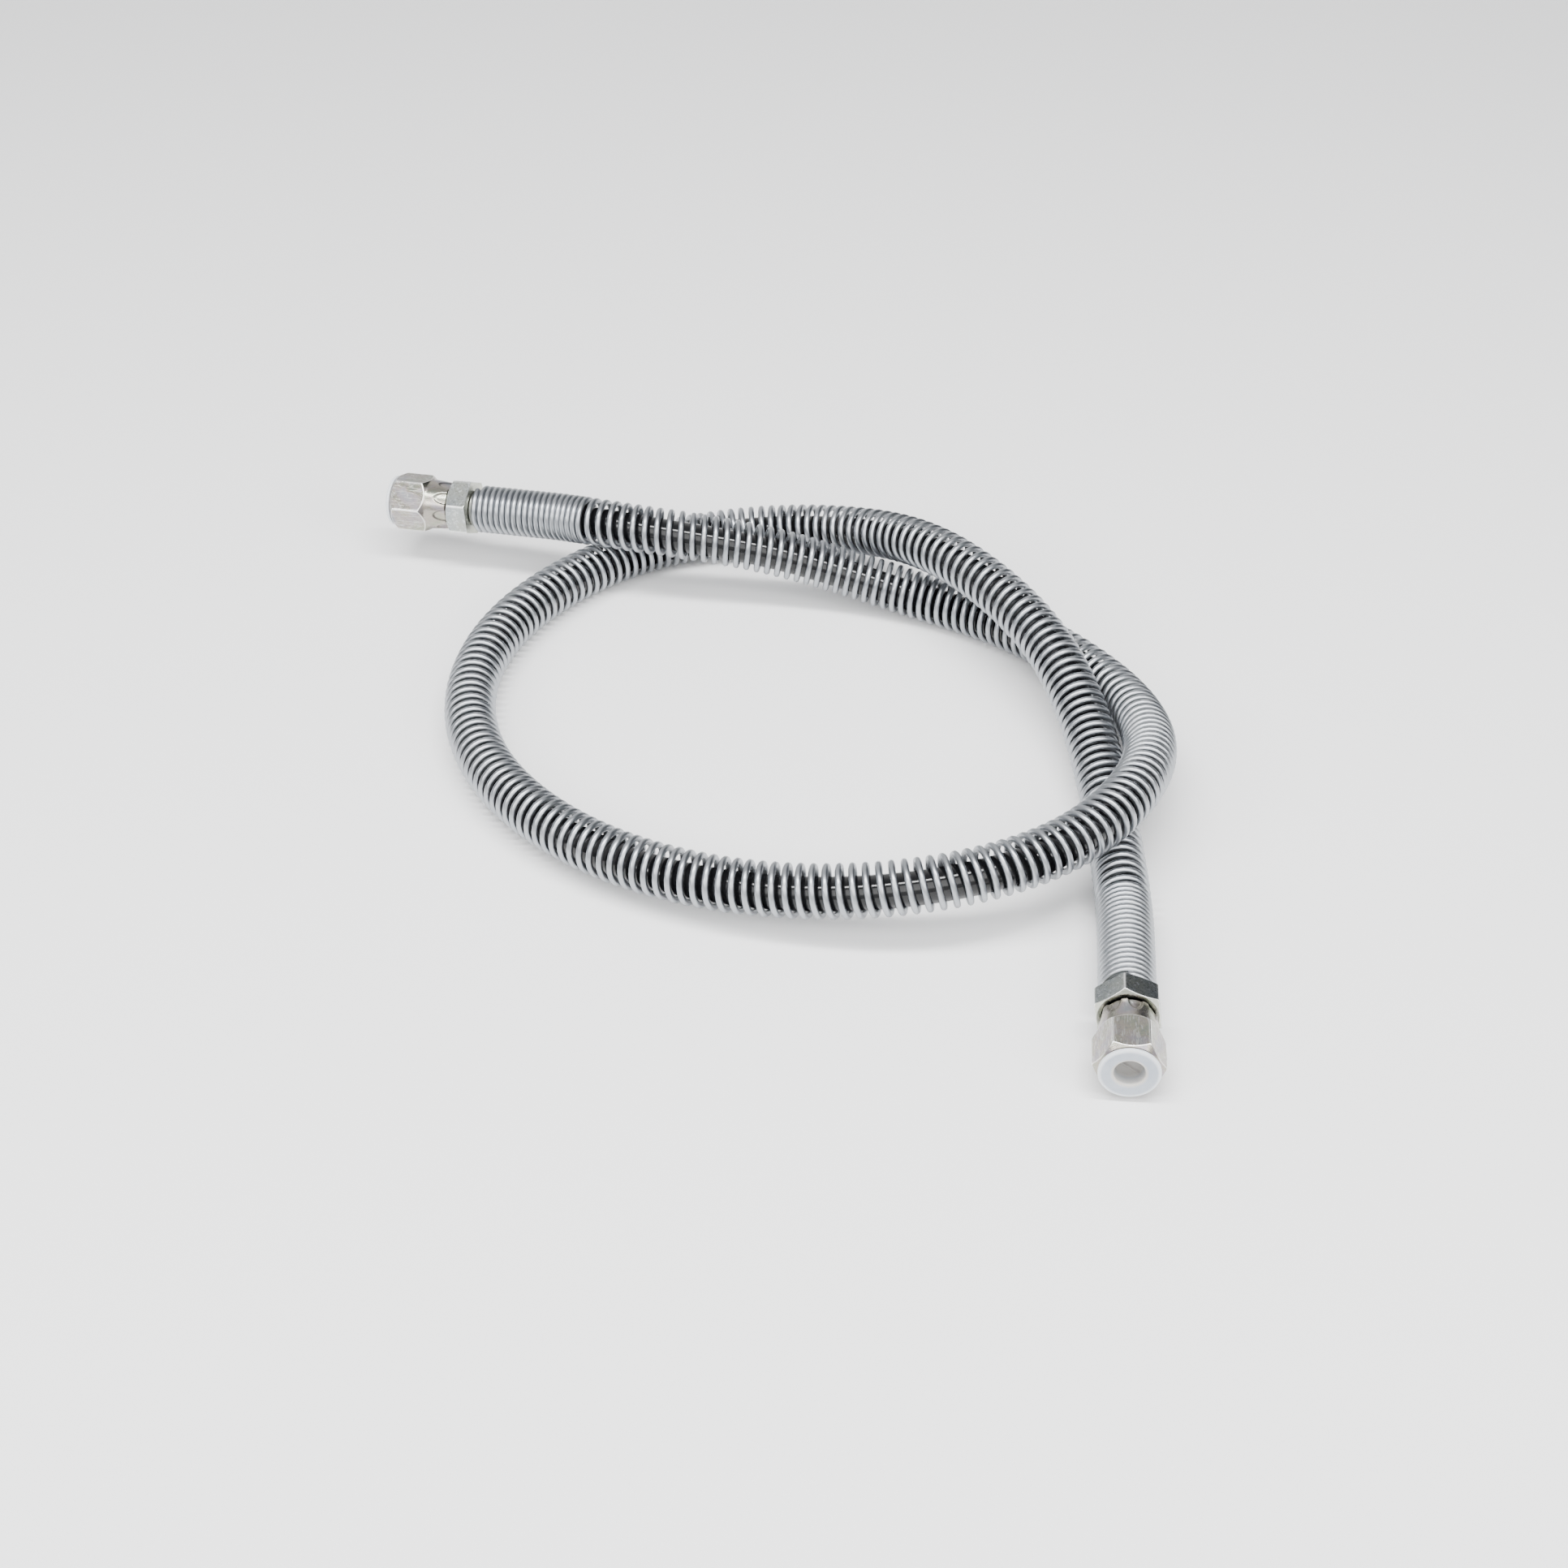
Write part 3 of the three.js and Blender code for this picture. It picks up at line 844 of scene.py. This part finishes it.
def plug_material():
    """Natural polyethylene: milky, soft-edged and slightly waxy, with painted shade in its recess and
    painted highlights round the recess mouth and the flange rim.
    """
    shader = Shader(
        "plug_natural_polyethylene", Subsurface_Weight=0.3, Subsurface_Scale=1.2 * MM,
        Subsurface_Radius=(1.0, 0.9, 0.8), Transmission_Weight=0.12, IOR=1.51,
    )
    place = shader.attribute("surface")
    cloud = shader.noise(place, 240.0, detail=3.0)
    skin = shader.noise(place, 1500.0, detail=3.0, roughness=0.6)
    base = shader.ramp(cloud, [
        (0.30, colour(0.40, 0.445, 0.51)), (0.70, colour(0.48, 0.52, 0.58)),
    ])
    level = shader.scaled(place, (1, 1, 0))
    from_axis = shader.node("ShaderNodeVectorMath", {0: level}, operation="LENGTH").outputs["Value"]
    # painted shade: the base darkens inside the recess, within 4.7 mm of the axis
    in_recess = shader.spread(from_axis, 0.9, 0.0, 4.7 * MM, 5.3 * MM)
    # painted highlight: a warm, lighter ring round the mouth of the recess
    painted_mouth_highlight = shader.math("SUBTRACT", shader.spread(from_axis, 0.0, 0.7, 4.9 * MM, 5.4 * MM),
                           shader.spread(from_axis, 0.0, 0.7, 5.6 * MM, 6.6 * MM))
    # painted highlight: the outer rim of the flange is made paler
    painted_rim_highlight = shader.spread(from_axis, 0.0, 0.8, 9.2 * MM, 10.0 * MM)
    base = shader.mix(in_recess, base, colour(0.22, 0.205, 0.18))
    base = shader.mix(painted_mouth_highlight, base, colour(0.66, 0.60, 0.50))
    base = shader.mix(painted_rim_highlight, base, colour(0.80, 0.83, 0.86))
    shader.set(Base_Color=base, Roughness=shader.spread(skin, 0.28, 0.42))
    shader.set(Normal=shader.bump(skin, 0.03 * MM, 0.4))
    return shader.material


def dress(piece, material):
    piece.data.materials.clear()
    piece.data.materials.append(material)


# Assembly ---------------------------------------------------------------------------------------

def settle(piece, material, body, slot, *nodes):
    """Finishes a piece: its material, the body that carries it and the nodes it stands for."""
    dress(piece, material)
    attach(piece, body)
    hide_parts(*nodes)
    return piece


def build_hose():
    cover = tube_along("hose", hose_line, COVER)
    braid = tube_along("reinforcing_braid", hose_line, BRAID)
    liner = tube_along("inner_liner", hose_line, LINER)
    spring = make_spring()
    settle(cover, cover_material(), "hose", "hose_cover", "hose_cover")
    settle(braid, braid_material(), "hose", "hose_braid", "hose_braid")
    settle(liner, rubber_material("liner_rubber", 0.02, 0.55), "hose", "hose_liner", "hose_liner")
    settle(spring, wire_material(), "hose", "spring_wire", "spring_guard")
    return cover, [braid, liner, spring]


def build_fitting(prefix, end, looks, insert_turn=0.0, nut_turn=0.0):
    """One end fitting: (maker, body, look slot, CAD node, turn) for each of its pieces."""
    parts = [
        (make_insert, "hose", "insert_zinc", "insert", insert_turn),
        (make_ferrule, "hose", "ferrule_zinc", "ferrule", 0.0),
        (make_o_ring, "hose", "o_ring", "o_ring", 0.0),
        (make_nut, f"{prefix}_nut", "nut_zinc", "swivel_nut", NUT_FLAT_UP + nut_turn),
        (make_plug, f"{prefix}_plug", "plug", "plug", 0.0),
    ]
    pieces = []
    for maker, body, slot, node, turn in parts:
        piece = maker(prefix)
        piece.data.transform(end_matrix(end, turn))
        pieces.append(settle(piece, looks[slot], body, slot, f"{prefix}_{node}"))
    return pieces


hose, hose_parts = build_hose()
fitting_looks = {
    "insert_zinc": insert_material(),
    "ferrule_zinc": ferrule_material(),
    "o_ring": rubber_material("seal_rubber", 0.012, 0.45),
    "nut_zinc": nut_material(),
    "plug": plug_material(),
}
build_fitting("inlet", INLET, fitting_looks, nut_turn=INLET_NUT_TURN)
outlet_pieces = build_fitting("outlet", OUTLET, fitting_looks, insert_turn=OUTLET_INSERT_TURN)


# Floor and light --------------------------------------------------------------------------------

def make_floor():
    size = 4.0
    grid = bpy.data.meshes.new("floor")
    corners = [(-size, -size, 0), (size, -size, 0), (size, size, 0), (-size, size, 0)]
    grid.from_pydata(corners, [], [(0, 1, 2, 3)])
    floor = bpy.data.objects.new("floor", grid)
    bpy.context.scene.collection.objects.link(floor)
    floor.location.z = min(0.0, CAD_BOX[0][2]) - 0.1 * MM
    shader = Shader("studio_floor", Roughness=0.6)
    cloud = shader.noise(shader.attribute("surface"), 6.0, detail=2.0)
    shader.set(Base_Color=shader.ramp(cloud, [
        (0.3, colour(0.90, 0.90, 0.90)), (0.7, colour(0.92, 0.92, 0.92)),
    ]))
    dress(floor, shader.material)


def add_softbox(name, location, target, size, energy):
    data = bpy.data.lights.new(name, "AREA")
    data.shape = "RECTANGLE"
    data.size, data.size_y = size
    data.energy = energy
    light = bpy.data.objects.new(name, data)
    light.location = location
    light.rotation_euler = (Vector(target) - Vector(location)).to_track_quat("-Z", "Y").to_euler()
    bpy.context.scene.collection.objects.link(light)


def make_surroundings():
    """A soft grey room: palest behind the hose, dim at both sides and dark at the far right."""
    world = bpy.data.worlds.new("studio")
    bpy.context.scene.world = world
    world.use_nodes = True
    tree = world.node_tree

    def ramp(value, stops):
        made = tree.nodes.new("ShaderNodeValToRGB")
        elements = made.color_ramp.elements
        while len(elements) < len(stops):
            elements.new(0.5)
        for element, (place, shade) in zip(elements, stops):
            element.position, element.color = place, shade
        tree.links.new(value, made.inputs["Fac"])
        return made.outputs["Color"]

    def toward(direction):
        made = tree.nodes.new("ShaderNodeVectorMath")
        made.operation = "DOT_PRODUCT"
        made.inputs[1].default_value = Vector(direction).normalized()
        tree.links.new(sky, made.inputs[0])
        return made.outputs["Value"]

    def multiply(a, b):
        made = tree.nodes.new("ShaderNodeMix")
        made.data_type, made.blend_type = "RGBA", "MULTIPLY"
        made.inputs[0].default_value = 1.0
        tree.links.new(a, made.inputs[6])
        tree.links.new(b, made.inputs[7])
        return made.outputs[2]

    sky = tree.nodes.new("ShaderNodeTexCoord").outputs["Generated"]
    height = ramp(toward((0, 0, 1)), [
        (0.10, colour(0.85, 0.86, 0.87)), (0.62, colour(1.0, 1.0, 1.0)),
        (0.95, colour(0.40, 0.41, 0.43)),
    ])
    white = colour(1, 1, 1)
    dim = colour(0.35, 0.36, 0.38)
    left = ramp(toward((-1, 0, 0)), [(0.60, white), (0.95, dim)])
    right = ramp(toward((1, 0, 0)), [(0.60, white), (0.95, dim)])
    corner = ramp(toward((0.8, 0.5, 0.33)), [(0.76, white), (0.90, colour(0.05, 0.055, 0.07))])
    room = multiply(multiply(multiply(height, left), right), corner)
    tree.links.new(room, tree.nodes["Background"].inputs["Color"])
    tree.nodes["Background"].inputs["Strength"].default_value = 1.25


make_floor()
make_surroundings()
add_softbox("above_camera", (0.0, -1.25, 1.2), (0.02, 0.0, 0.0), (2.0, 1.2), 26)
add_softbox("overhead_strip", (0.0, -0.27, 1.4), (0.02, 0.0, 0.0), (1.6, 0.2), 40)
add_softbox("front_left", (-1.05, -0.85, 0.85), (0.0, 0.0, 0.0), (0.4, 0.4), 8)
add_softbox("front_right", (1.05, -0.85, 0.85), (0.0, 0.0, 0.0), (0.4, 0.4), 8)
